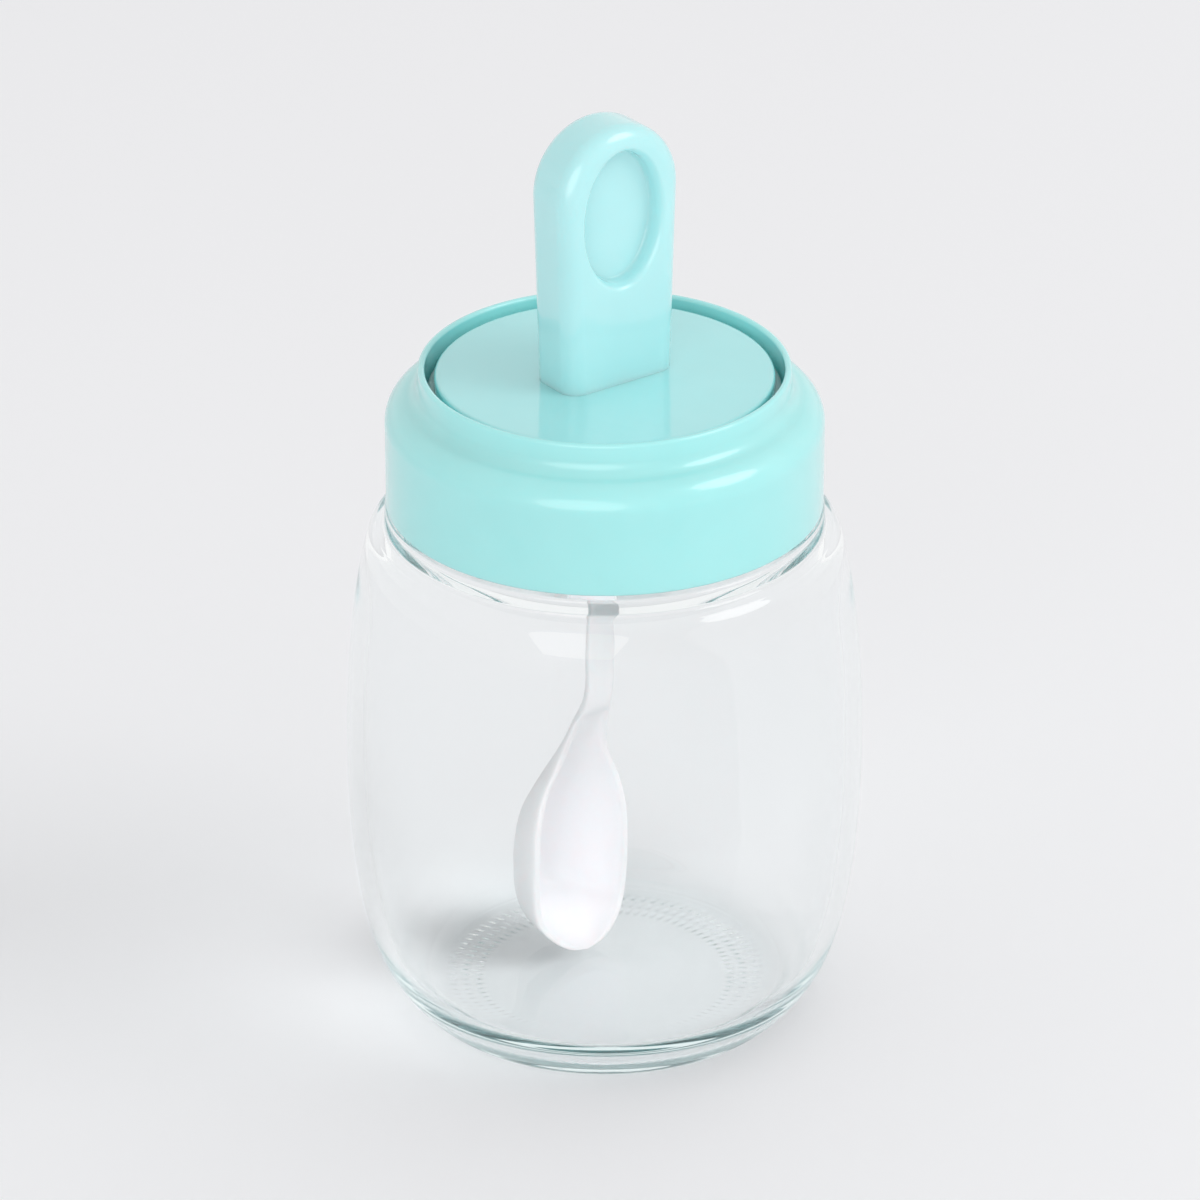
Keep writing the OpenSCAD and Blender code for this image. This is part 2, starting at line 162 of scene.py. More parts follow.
# The wall's outside from the table up to the step, and the inside one wall further in
body = [(0.684, 0.003), (0.739, 0.012), (0.793, 0.036), (0.849, 0.072), (0.899, 0.12), (0.942, 0.19),
        (0.975, 0.287), (0.995, 0.407), (1, 0.539), (0.99, 0.67), (0.967, 0.79), (0.936, 0.886),
        (0.905, 0.945), (0.874, 0.965)]
outside = np.array([(r * JAR_R, z * SHOULDER_H) for r, z in body])
inside = [(r * (JAR_R - WALL), FLOOR_T + h * HEEL_H)
          for r, h in ((0.3, 0), (0.58, 0), (0.74, 0.1), (0.84, 0.36), (0.9, 0.7))]
for i in range(len(outside) - 2):
    along = outside[i + 1] - outside[max(i - 1, 0)]
    across = np.array([along[1], -along[0]]) / np.linalg.norm(along)
    point = outside[i] - WALL * across
    if point[1] > FLOOR_T + HEEL_H:
        inside.append(tuple(point))
# Inside, the wall thickens under the step and runs up into the mouth in one soft curve.
inside += [(32.7, STEP_Z - 3.2), (30.6, STEP_Z - 1.1), (28.6, STEP_TOP - 1.7), (27.6, STEP_TOP + 0.8),
           (MOUTH_R, STEP_TOP + 3)]

# The hollow under the base is a shallow dome. The ring round it has rows enough for the ribs pressed in it.
punt = [(RIB_IN_R * k / PUNT_ROWS, RIB_H + (PUNT_H - RIB_H) * (1 + math.cos(math.pi * k / PUNT_ROWS)) / 2)
        for k in range(PUNT_ROWS)]
ribbed = [(r, RIB_H) for r in np.linspace(RIB_IN_R, RIB_OUT_R, RIB_STEPS * RIB_ROWS + 1)]
up_outside = (smooth_curve(outside, 8)
              + arc((STEP_R + STEP_FILLET_R, STEP_Z + STEP_FILLET_R), STEP_FILLET_R, 240, 180, 6)
              + straight((STEP_R, STEP_Z + STEP_FILLET_R + 0.1), (STEP_R, STEP_TOP - STEP_EDGE_R), 0.5)
              + arc((STEP_R - STEP_EDGE_R, STEP_TOP - STEP_EDGE_R), STEP_EDGE_R, 0, 90, 8)
              + arc((NECK_R + NECK_FILLET_R, STEP_TOP + NECK_FILLET_R), NECK_FILLET_R, 270, 180, 8)
              + straight((NECK_R, STEP_TOP + NECK_FILLET_R + 0.1), (NECK_R, RIM_Z - RIM_EDGE_R), 0.25))
rim = (arc((NECK_R - RIM_EDGE_R, RIM_Z - RIM_EDGE_R), RIM_EDGE_R, 0, 90)
       + arc((MOUTH_R + RIM_EDGE_R, RIM_Z - RIM_EDGE_R), RIM_EDGE_R, 90, 180))
down_inside = smooth_curve(inside, 6)[::-1] + [(0.15 * (JAR_R - WALL), FLOOR_T), (0, FLOOR_T)]
up_outside = [(min(r, JAR_R), z) for r, z in up_outside]
section = punt + ribbed + up_outside + rim + down_inside
# The ribbed ring has three times the columns, so that each rib has a few faces of its own.
counts = [JAR_COLUMNS] * len(punt) + [3 * JAR_COLUMNS] * len(ribbed)
counts += [JAR_COLUMNS] * (len(section) - len(counts))
jar = new_piece("jar", *turned_mesh(section, counts), crease=60)


def start_tree(name, sizes):
    """A Geometry Nodes tree with an input for the piece, one for each of the sizes and one for the material.
    Gives the tree, its inputs, and each point's place, place in plan, distance from Z and angle round it."""
    tree = bpy.data.node_groups.new(name, "GeometryNodeTree")
    sockets = [("Geometry", "Geometry")] + [(size, "Float") for size in sizes] + [("Material", "Material")]
    for title, kind in sockets:
        tree.interface.new_socket(title, in_out="INPUT", socket_type="NodeSocket" + kind)
    tree.interface.new_socket("Geometry", in_out="OUTPUT", socket_type="NodeSocketGeometry")
    given = add_node(tree, "NodeGroupInput").outputs
    point = add_node(tree, "GeometryNodeInputPosition")
    place = add_node(tree, "ShaderNodeSeparateXYZ", {0: point}).outputs
    flat = add_node(tree, "ShaderNodeCombineXYZ", {0: place["X"], 1: place["Y"]})
    reach = add_node(tree, "ShaderNodeVectorMath", {0: flat}, operation="LENGTH").outputs["Value"]
    angle = add_node(tree, "ShaderNodeMath", {0: place["Y"], 1: place["X"]}, operation="ARCTAN2")
    return tree, given, place, flat, reach, angle


def end_tree(tree, given, chosen, move):
    """Moves the chosen points, and ends the tree in plain mesh of the given material."""
    moved = add_node(tree, "GeometryNodeSetPosition", {"Geometry": given["Geometry"], "Selection": chosen,
                     "Offset": move})
    whole = add_node(tree, "GeometryNodeRealizeInstances", {0: moved})
    dressed = add_node(tree, "GeometryNodeSetMaterial", {0: whole, "Material": given["Material"]})
    add_node(tree, "NodeGroupOutput", {0: dressed})


# The ribs of the foot: a wave round the ring and across its rows presses the flat ring down into ribs.
rib_tree, given, place, flat, reach, angle = start_tree(
    "foot_ribs", ("Inner Radius", "Outer Radius", "Rows", "Ribs in a Row", "Rib Height"))
row = add_node(rib_tree, "ShaderNodeMapRange", {"Value": reach, "From Min": given["Inner Radius"],
               "From Max": given["Outer Radius"], "To Min": 0.0, "To Max": given["Rows"]}, clamp=False)
across = add_node(rib_tree, "ShaderNodeMath", {0: row}, operation="FRACT")
across = add_node(rib_tree, "ShaderNodeMath", {0: across, 1: 0.5}, operation="PINGPONG")
across = add_node(rib_tree, "ShaderNodeMapRange", {"Value": across, "From Min": 0.03, "From Max": 0.4},
                  interpolation_type="SMOOTHSTEP")
around = add_node(rib_tree, "ShaderNodeMath", {0: angle, 1: given["Ribs in a Row"]}, operation="MULTIPLY")
around = add_node(rib_tree, "ShaderNodeMath", {0: around}, operation="COSINE")
around = add_node(rib_tree, "ShaderNodeMapRange", {"Value": around, "From Min": -0.9, "From Max": 1.0},
                  interpolation_type="SMOOTHSTEP")
rib = add_node(rib_tree, "ShaderNodeMath", {0: across, 1: around}, operation="MULTIPLY")
rib = add_node(rib_tree, "ShaderNodeMath", {0: rib, 1: given["Rib Height"]}, operation="MULTIPLY")
drop = add_node(rib_tree, "ShaderNodeMath", {0: rib, 1: -1.0}, operation="MULTIPLY")
# Only the ring's own points move: past its inner radius, short of its outer one, and within 0.5 mm of Z = 0.
past = add_node(rib_tree, "ShaderNodeMath", {0: reach, 1: given["Inner Radius"]}, operation="GREATER_THAN")
short = add_node(rib_tree, "ShaderNodeMath", {0: reach, 1: given["Outer Radius"]}, operation="LESS_THAN")
low = add_node(rib_tree, "ShaderNodeMath", {0: place["Z"], 1: 0.0005}, operation="LESS_THAN")
chosen = add_node(rib_tree, "ShaderNodeMath", {0: past, 1: short}, operation="MULTIPLY")
chosen = add_node(rib_tree, "ShaderNodeMath", {0: chosen, 1: low}, operation="MULTIPLY")
end_tree(rib_tree, given, chosen, add_node(rib_tree, "ShaderNodeCombineXYZ", {2: drop}))

# The screw thread: rows of a round wall are moved out or in along a helix, with soft flanks and run-outs.
thread_tree, given, place, flat, reach, angle = start_tree(
    "screw_thread", ("Wall Radius", "Height", "Start Height", "Pitch", "Turns", "Root Half Width",
                     "Crest Half Width", "Run-out Turns"))
angle = add_node(thread_tree, "ShaderNodeMath", {0: angle, 1: 2 * math.pi}, operation="DIVIDE")
part_turn = add_node(thread_tree, "ShaderNodeMath", {0: angle}, operation="FRACT")
level = add_node(thread_tree, "ShaderNodeMath", {0: place["Z"], 1: given["Start Height"]},
                 operation="SUBTRACT")
level = add_node(thread_tree, "ShaderNodeMath", {0: level, 1: given["Pitch"]}, operation="DIVIDE")
# along is how many turns up the helix the nearest lap is here, and aside is how far off that lap's middle.
lap = add_node(thread_tree, "ShaderNodeMath", {0: level, 1: part_turn}, operation="SUBTRACT")
lap = add_node(thread_tree, "ShaderNodeMath", {0: lap}, operation="ROUND")
along = add_node(thread_tree, "ShaderNodeMath", {0: part_turn, 1: lap}, operation="ADD")
aside = add_node(thread_tree, "ShaderNodeMath", {0: level, 1: along}, operation="SUBTRACT")
aside = add_node(thread_tree, "ShaderNodeMath", {0: aside, 1: given["Pitch"]}, operation="MULTIPLY")
aside = add_node(thread_tree, "ShaderNodeMath", {0: aside}, operation="ABSOLUTE")
left = add_node(thread_tree, "ShaderNodeMath", {0: given["Turns"], 1: along}, operation="SUBTRACT")
flank = add_node(thread_tree, "ShaderNodeMapRange", {"Value": aside, "From Min": given["Root Half Width"],
                 "From Max": given["Crest Half Width"]}, interpolation_type="SMOOTHSTEP")
start, end = [add_node(thread_tree, "ShaderNodeMapRange", {"Value": run, "From Min": 0.0,
              "From Max": given["Run-out Turns"]}, interpolation_type="SMOOTHSTEP") for run in (along, left)]
rise = add_node(thread_tree, "ShaderNodeMath", {0: flank, 1: start}, operation="MULTIPLY")
rise = add_node(thread_tree, "ShaderNodeMath", {0: rise, 1: end}, operation="MULTIPLY")
rise = add_node(thread_tree, "ShaderNodeMath", {0: rise, 1: given["Height"]}, operation="MULTIPLY")
on_wall = add_node(thread_tree, "ShaderNodeMath", {0: reach, 1: given["Wall Radius"], 2: 0.0002},
                   operation="COMPARE")
outward = add_node(thread_tree, "ShaderNodeVectorMath", {0: flat}, operation="NORMALIZE")
move = add_node(thread_tree, "ShaderNodeVectorMath", {0: outward, "Scale": rise}, operation="SCALE")
end_tree(thread_tree, given, on_wall, move)


def new_material(name):
    """A material with no nodes yet but the piece's own coordinates, its tree, and those coordinates."""
    made = bpy.data.materials.new(name)
    made.use_nodes = True
    made.node_tree.nodes.clear()
    return made, made.node_tree, add_node(made.node_tree, "ShaderNodeTexCoord").outputs["Object"]


# Clear soda-lime glass, fire-polished: hard thin highlights, slightly uneven walls that bend what lies
# behind them, and a blue-green cast that only the thick floor and heel are deep enough to show.
glass, tree, spot = new_material("clear_soda_lime_glass")
# Blown walls wander over 20 to 30 mm, so the slow wave has about 40 to the metre.
waves = add_node(tree, "ShaderNodeTexNoise", {"Vector": spot, "Scale": 40.0, "Detail": 1.0, "Roughness": 0.4})
uneven = add_node(tree, "ShaderNodeBump", {"Height": waves, "Strength": 1.0, "Distance": 0.00006})
tint = add_node(tree, "ShaderNodeValToRGB", {"Fac": waves})
for stop, shade in zip(tint.color_ramp.elements, ("#FEFFFF", "#FFFFFF")):
    stop.color = colour(shade)
clear = add_node(tree, "ShaderNodeBsdfPrincipled", {
    "Base Color": tint, "Roughness": 0.0, "IOR": 1.517, "Transmission Weight": 1.0, "Normal": uneven})
# Lamps' light passes straight through as shadow rays, so that the spoon and the paper aren't left dark.
lamp_light = add_node(tree, "ShaderNodeBsdfTransparent", {"Color": colour("#FEFFFF")})
shadow = add_node(tree, "ShaderNodeLightPath").outputs["Is Shadow Ray"]
mixed = add_node(tree, "ShaderNodeMixShader", {0: shadow, 1: clear, 2: lamp_light})
depth = add_node(tree, "ShaderNodeVolumeAbsorption", {"Color": colour("#BDEFF1"), "Density": 4.5})
add_node(tree, "ShaderNodeOutputMaterial", {"Surface": mixed, "Volume": depth})

run_tree(jar, rib_tree, {"Inner Radius": RIB_IN_R / 1000, "Outer Radius": RIB_OUT_R / 1000,
                         "Rows": float(RIB_ROWS), "Ribs in a Row": float(RIB_COUNT),
                         "Rib Height": RIB_H / 1000, "Material": glass})
ridge = {"Pitch": THREAD_PITCH / 1000, "Turns": THREAD_TURNS, "Root Half Width": ROOT_HALF / 1000,
         "Crest Half Width": CREST_HALF / 1000, "Run-out Turns": RUN_OUT}
run_tree(jar, thread_tree, ridge | {"Wall Radius": NECK_R / 1000, "Height": THREAD_H / 1000,
                                    "Start Height": THREAD_Z / 1000, "Material": glass})
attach(jar, "jar")
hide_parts("glass_jar")

# ---- Rim gasket -------------------------------------------------------------------------------------
# A flat washer of clear silicone, punched from sheet, that lies on the jar's rim inside the collar's seat
# and seals it when the collar is tight.

GASKET_T, GASKET_OUT_R, GASKET_EDGE_R = 1.2, NECK_R + 0.5, 0.2
# Faces that press on each other are drawn this far apart, so that neither shows through the other.
SLIP = 0.02
gasket_top = RIM_Z + GASKET_T
edge_mid_r = GASKET_OUT_R - GASKET_EDGE_R
section = (straight((MOUTH_R, RIM_Z + SLIP), (edge_mid_r, RIM_Z + SLIP), 1.0)
           + arc((edge_mid_r, RIM_Z + SLIP + GASKET_EDGE_R), GASKET_EDGE_R, -90, 0, 4)
           + arc((edge_mid_r, gasket_top - GASKET_EDGE_R), GASKET_EDGE_R, 0, 90, 4)
           + arc((MOUTH_R + GASKET_EDGE_R, gasket_top - GASKET_EDGE_R), GASKET_EDGE_R, 90, 180, 4))
gasket = new_piece("gasket", *turned_mesh(section, 200))

# Clear silicone rubber: milky where it is seen edge on, with a soft sheen and a faint moulded grain.
silicone, tree, spot = new_material("clear_silicone_rubber")
# The sheet's grain is about 0.5 mm, and its milkiness drifts over about 6 mm.
grain = add_node(tree, "ShaderNodeTexNoise", {"Vector": spot, "Scale": 2000.0, "Detail": 2.0})
drift = add_node(tree, "ShaderNodeTexNoise", {"Vector": spot, "Scale": 160.0, "Detail": 2.0})
milk = add_node(tree, "ShaderNodeValToRGB", {"Fac": drift})
for stop, shade in zip(milk.color_ramp.elements, ("#DDEBEA", "#EDF6F5")):
    stop.color = colour(shade)
surface = add_node(tree, "ShaderNodeBump", {"Height": grain, "Strength": 0.3, "Distance": 0.00001})
rubber = add_node(tree, "ShaderNodeBsdfPrincipled", {
    "Base Color": milk, "Roughness": 0.38, "IOR": 1.41, "Transmission Weight": 0.35, "Subsurface Weight": 0.5,
    "Subsurface Radius": (0.003, 0.003, 0.003), "Subsurface Scale": 1.0, "Normal": surface})
add_node(tree, "ShaderNodeOutputMaterial", {"Surface": rubber})
gasket.data.materials.append(silicone)
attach(gasket, "gasket")
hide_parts("rim_gasket")

# ---- Screw collar -----------------------------------------------------------------------------------
# An injection-moulded collar of polypropylene coloured aqua. Its skirt screws down over the neck, and
# inside its raised lip is a well with a ledge, where the lid sits.

COLLAR_R, SKIRT_IN_R, COLLAR_Z, EDGE_R, IN_EDGE_R = 33.0, 31.5, SHOULDER_H + 1.0, 0.375, 0.2
SHOULDER_R, LIP_H, LIP_T, FILLET_R = 4.2, 4.8, 1.05, 2.4
LEDGE_T, WELL_DEPTH, WELL_R, WELL_FILLET_R, LEDGE_IN_R, SEAT_R = 1.8, 4.8, 26.9, 0.3, 22.5, 30.45
# A short row of faces beside each turn keeps the shading of the flat that it meets flat.
BESIDE = 0.15
LEDGE_Z = gasket_top + LEDGE_T
LIP_Z = LEDGE_Z + WELL_DEPTH
lip_out = WELL_R + LIP_T
mid = (COLLAR_R - SHOULDER_R, LIP_Z - LIP_H - SHOULDER_R)
turn_a = math.acos((lip_out + FILLET_R - mid[0]) / (SHOULDER_R + FILLET_R))
fillet_mid = (lip_out + FILLET_R, mid[1] + (SHOULDER_R + FILLET_R) * math.sin(turn_a))
section = (arc((SKIRT_IN_R + IN_EDGE_R, COLLAR_Z + IN_EDGE_R), IN_EDGE_R, 180, 270, 4)
           + arc((COLLAR_R - EDGE_R, COLLAR_Z + EDGE_R), EDGE_R, -90, 0, 6)
           + straight((COLLAR_R, COLLAR_Z + EDGE_R + BESIDE), (COLLAR_R, mid[1] - BESIDE), 1.5)
           + [(COLLAR_R, mid[1] - BESIDE)]
           + arc(mid, SHOULDER_R, 0, math.degrees(turn_a), 20)
           + arc(fillet_mid, FILLET_R, math.degrees(turn_a) - 180, -180, 14)[1:]
           + arc((lip_out - LIP_T / 2, LIP_Z - LIP_T / 2), LIP_T / 2, 0, 180, 16)
           + straight((WELL_R, LIP_Z - LIP_T / 2 - BESIDE), (WELL_R, LEDGE_Z + 0.4), 1.0)
           + arc((WELL_R - WELL_FILLET_R, LEDGE_Z + WELL_FILLET_R), WELL_FILLET_R, 0, -90, 5)
           + [(WELL_R - WELL_FILLET_R - BESIDE, LEDGE_Z), (LEDGE_IN_R + LEDGE_T / 4 + BESIDE, LEDGE_Z)]
           + arc((LEDGE_IN_R + LEDGE_T / 4, LEDGE_Z - LEDGE_T / 4), LEDGE_T / 4, 90, 180, 6)
           + [(LEDGE_IN_R, gasket_top + 2 * BESIDE), (LEDGE_IN_R, gasket_top + SLIP),
              (LEDGE_IN_R + 2 * BESIDE, gasket_top + SLIP), (SEAT_R - 2 * BESIDE, gasket_top + SLIP),
              (SEAT_R, gasket_top), (SEAT_R, gasket_top - 2 * BESIDE), (SEAT_R, RIM_Z + 0.2), (SEAT_R, RIM_Z)]
           + straight((SKIRT_IN_R, RIM_Z - GASKET_T), (SKIRT_IN_R, COLLAR_Z + 0.3), 0.25))
collar = new_piece("collar", *turned_mesh(section, 256))


def moulded_plastic(name, deep, pale, drift, peel, rough, ior, coat, soak):
    """Polypropylene as it leaves a mould: pigment that drifts with the flow between two colours over drift
    millimetres, an orange peel of peel millimetres, a gloss that varies a little with the flow, a skin
    richer in resin than what is under it, and light that goes soak millimetres in."""
    made, tree, spot = new_material(name)
    flow = add_node(tree, "ShaderNodeTexNoise", {
        "Vector": spot, "Scale": 1000 / drift, "Detail": 2.0, "Roughness": 0.5, "Distortion": 0.6})
    pigment = add_node(tree, "ShaderNodeValToRGB", {"Fac": flow})
    for stop, place, tone in zip(pigment.color_ramp.elements, (0.25, 0.75), (deep, pale)):
        stop.position, stop.color = place, colour(tone)
    waves = add_node(tree, "ShaderNodeTexNoise", {"Vector": spot, "Scale": 1000 / peel, "Detail": 1.0})
    skin = add_node(tree, "ShaderNodeBump", {"Height": waves, "Strength": 1.0, "Distance": 4e-6})
    gloss = add_node(tree, "ShaderNodeMapRange", {"Value": flow, "To Min": rough[0], "To Max": rough[1]})
    plastic = add_node(tree, "ShaderNodeBsdfPrincipled", {
        "Base Color": pigment, "Roughness": gloss, "IOR": ior, "Coat Weight": coat,
        "Coat Roughness": 0.06, "Subsurface Weight": 0.35, "Subsurface Scale": 1.0,
        "Subsurface Radius": (soak / 2000, soak / 1000, soak / 1000), "Normal": skin})
    add_node(tree, "ShaderNodeOutputMaterial", {"Surface": plastic})
    return made


# Aqua polypropylene from a polished mould: an even gloss over a satin body, and edges that glow a little.
aqua = moulded_plastic("moulded_aqua_polypropylene", "#A2E8E7", "#A8EBEA", drift=15, peel=1.6,
                       rough=(0.32, 0.38), ior=1.55, coat=0.9, soak=2.4)

# The collar's own ridge runs inside its skirt, its upper flank one clearance below the neck's lower flank.
FLANK_CLEAR, CREST_CLEAR = 0.15, 0.3
flank_slope = (ROOT_HALF - CREST_HALF) / THREAD_H
COLLAR_THREAD_Z = THREAD_Z - (2 * ROOT_HALF - flank_slope * (THREAD_H + CREST_CLEAR) + FLANK_CLEAR)
run_tree(collar, thread_tree, ridge | {"Wall Radius": SKIRT_IN_R / 1000, "Height": -THREAD_H / 1000,
                                       "Start Height": COLLAR_THREAD_Z / 1000, "Material": aqua})
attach(collar, "collar")
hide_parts("screw_collar")

# ---- Lid seal ---------------------------------------------------------------------------------------
# A ring of clear silicone stretched round the plug under the disc. Its outer edge is a round bead that
# shows as a grey line in the gap between the disc and the well.

SEAL_T, PLUG_R, WELL_CLEAR, FIT_CLEAR = 1.5, 22.0, 0.35, 0.05
BEAD_MID_R = WELL_R - WELL_CLEAR - SEAL_T / 2
SEAL_IN_R = PLUG_R + FIT_CLEAR
DISC_Z = LEDGE_Z + SEAL_T
section = (straight((SEAL_IN_R, LEDGE_Z), (BEAD_MID_R, LEDGE_Z), 1.0)
           + arc((BEAD_MID_R, LEDGE_Z + SEAL_T / 2), SEAL_T / 2, -90, 90, 14)
           + [(PLUG_R + 0.3, DISC_Z), (SEAL_IN_R, DISC_Z), (SEAL_IN_R, DISC_Z - 0.3),
              (SEAL_IN_R, LEDGE_Z + 0.3)])
seal = new_piece("seal", *turned_mesh(section, 200))
seal.data.materials.append(silicone)
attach(seal, "seal")
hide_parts("lid_seal")

# ---- Lid plug ---------------------------------------------------------------------------------------
# A shallow hollow cup of the collar's plastic, open downwards, pressed onto the grip's tenon. It centres
# the lid in the collar's ledge and traps the disc and the seal.

PLUG_H, PLUG_WALL, BOSS_R, TENON_R = 9.2, 1.6, 6.6, 4.5
PLUG_EDGE_R, BOSS_EDGE_R, BORE_EDGE_R, ROOF_FILLET_R, FLAT_STEP = 0.4, 0.3, 0.25, 0.5, 0.2
PLUG_Z = DISC_Z - PLUG_H
BORE_R = TENON_R + FIT_CLEAR
roof = DISC_Z - PLUG_WALL
wall_in = PLUG_R - PLUG_WALL
section = (arc((BORE_R + BORE_EDGE_R, PLUG_Z + BORE_EDGE_R), BORE_EDGE_R, 180, 270, 4)
           + arc((BOSS_R - BOSS_EDGE_R, PLUG_Z + BOSS_EDGE_R), BOSS_EDGE_R, -90, 0, 4)
           + arc((BOSS_R + ROOF_FILLET_R, roof - ROOF_FILLET_R), ROOF_FILLET_R, 180, 90, 5)
           + [(BOSS_R + ROOF_FILLET_R + FLAT_STEP, roof), (wall_in - ROOF_FILLET_R - FLAT_STEP, roof)]
           + arc((wall_in - ROOF_FILLET_R, roof - ROOF_FILLET_R), ROOF_FILLET_R, 90, 0, 5)
           + [(wall_in, roof - ROOF_FILLET_R - FLAT_STEP), (wall_in, PLUG_Z + PLUG_EDGE_R + FLAT_STEP)]
           + arc((wall_in + PLUG_EDGE_R, PLUG_Z + PLUG_EDGE_R), PLUG_EDGE_R, 180, 270, 5)
           + arc((PLUG_R - PLUG_EDGE_R, PLUG_Z + PLUG_EDGE_R), PLUG_EDGE_R, -90, 0, 5)
           + [(PLUG_R, PLUG_Z + PLUG_EDGE_R + FLAT_STEP), (PLUG_R, DISC_Z - 0.3), (PLUG_R, DISC_Z),
              (PLUG_R - 0.3, DISC_Z), (TENON_R + 0.3, DISC_Z), (BORE_R, DISC_Z), (BORE_R, DISC_Z - 0.3)])
plug = new_piece("plug", *turned_mesh(section, 160))
plug.data.materials.append(aqua)
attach(plug, "lid")
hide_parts("lid_plug")

# ---- Lid disc ---------------------------------------------------------------------------------------
# A flat disc moulded apart from the rest in a paler, bluer aqua. Its mould was mirror-polished, so it
# reflects the foot of the grip. It is held between the grip's foot and the plug.

DISC_R, DISC_T, DISC_EDGE_R, DISC_FOOT_R = 25.5, 2.2, 0.6, 0.25
DISC_TOP = DISC_Z + DISC_T
section = ([(BORE_R, DISC_Z), (DISC_R - 2 * DISC_FOOT_R, DISC_Z)]
           + arc((DISC_R - DISC_FOOT_R, DISC_Z + DISC_FOOT_R), DISC_FOOT_R, -90, 0, 5)
           + [(DISC_R, DISC_Z + DISC_FOOT_R + BESIDE), (DISC_R, DISC_TOP - DISC_EDGE_R - 0.1)]
           + arc((DISC_R - DISC_EDGE_R, DISC_TOP - DISC_EDGE_R), DISC_EDGE_R, 0, 90, 8)
           + straight((DISC_R - DISC_EDGE_R - BESIDE, DISC_TOP), (BORE_R, DISC_TOP), 3.0)
           + [(BORE_R, DISC_TOP)])
disc = new_piece("disc", *turned_mesh(section, 256))

# Pale aqua polypropylene with a mirror finish: sharp reflections of the grip's foot and the lip.
pale = moulded_plastic("polished_pale_aqua_polypropylene", "#A4E8E9", "#A9EBEC", drift=12, peel=9,
                       rough=(0.05, 0.09), ior=1.6, coat=0.6, soak=2.4)
disc.data.materials.append(pale)
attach(disc, "lid")
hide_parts("lid_disc")

# ---- Grip -------------------------------------------------------------------------------------------
# An upright tab of the collar's plastic, moulded in one piece with the round tenon below it, which goes
# through the disc and the plug. Finger and thumb fit in the oval hollow in each broad face.

FOOT_W, GRIP_W, GRIP_T, GRIP_H, GRIP_EDGE_R = 19.5, 21.5, 10.0, 40.7, 2.8
HOLLOW_W, HOLLOW_H, HOLLOW_D, HOLLOW_MID_H = 15.3, 22.9, 2.8, 26.4
TENON_BORE_R, TENON_EDGE_R, TENON_SUNK, BORE_SUNK = 2.45, 0.4, 0.8, 0.6
top_r = GRIP_W / 2
arch_h = GRIP_H - top_r
side_a = math.asin(top_r / math.hypot(arch_h, FOOT_W / 2)) - math.atan2(FOOT_W / 2, arch_h)


def grip_outline(inset):
    """The grip's outline in its broad face, once round from the foot's middle, moved in by inset."""
    r = top_r - inset
    corner = ((r - arch_h * math.sin(side_a)) / math.cos(side_a), 0.0)
    meet = (r * math.cos(side_a), arch_h - r * math.sin(side_a))
    half = [(corner[0] * k / 12, 0.0) for k in range(12)]
    half += [tuple(np.array(corner) + (np.array(meet) - np.array(corner)) * k / 24) for k in range(24)]
    half += arc((0, arch_h), r, -math.degrees(side_a), 90, 40)
    return np.array(half + [(-x, z) for x, z in half[-2:0:-1]])


def hollow_outline(inset):
    """The hollow's oval, moved in by inset, with one point on the way to each point of the outline."""
    away = grip_outline(GRIP_EDGE_R) - (0, HOLLOW_MID_H)
    away /= np.hypot(away[:, 0], away[:, 1])[:, None]
    size = np.hypot(away[:, 0] / (HOLLOW_W / 2 - inset), away[:, 1] / (HOLLOW_H / 2 - inset))
    return away / size[:, None] + (0, HOLLOW_MID_H)


def ring_skin(stack, ends, reverse=False):
    """Points and faces of a skin over rings of like points, closed at each end by a fan round its middle."""
    size, last = len(stack[0]), (len(stack) - 1) * len(stack[0])
    points = [p for ring in stack for p in ring] + ends
    faces = []
    for i in range(len(stack) - 1):
        for k in range(size):
            a, b = i * size + k, i * size + (k + 1) % size
            faces.append((a, b, b + size, a + size))
    faces += [((k + 1) % size, k, len(points) - 2) for k in range(size)]
    faces += [(last + k, last + (k + 1) % size, len(points) - 1) for k in range(size)]
    return points, [(face[0],) + face[:0:-1] for face in faces] if reverse else faces


# From the middle of one hollow out over its rounded rim and the outline's edge, and the same way back in
rim_w, rim_d, turn_w = 0.36 * HOLLOW_D, 0.6 * HOLLOW_D, 0.16 * HOLLOW_D
rings = [(hollow_outline((HOLLOW_W - rim_w) / 2 * s), HOLLOW_D) for s in (0.99, 0.7, 0.4)]
for a in np.radians(np.linspace(90, 0, 9)):
    rings.append((hollow_outline(rim_w + turn_w * (1 - math.cos(a))),
                  rim_d + (HOLLOW_D - rim_d) * math.sin(a)))
for a in np.radians(np.linspace(90, 0, 11)[1:]):
    rings.append((hollow_outline(rim_w * math.sin(a)), rim_d * (1 - math.cos(a))))
for a in np.radians(np.linspace(0, 90, 13)):
    rings.append((grip_outline(GRIP_EDGE_R * (1 - math.sin(a))), GRIP_EDGE_R * (1 - math.cos(a))))
stack = [[(x, d - GRIP_T / 2, z + DISC_TOP) for x, z in ring] for ring, d in rings]
stack += [[(x, GRIP_T / 2 - d, z + DISC_TOP) for x, z in ring] for ring, d in rings[::-1]]
ends = [(0, y, HOLLOW_MID_H + DISC_TOP) for y in (HOLLOW_D - GRIP_T / 2, GRIP_T / 2 - HOLLOW_D)]
points, faces = ring_skin(stack, ends)
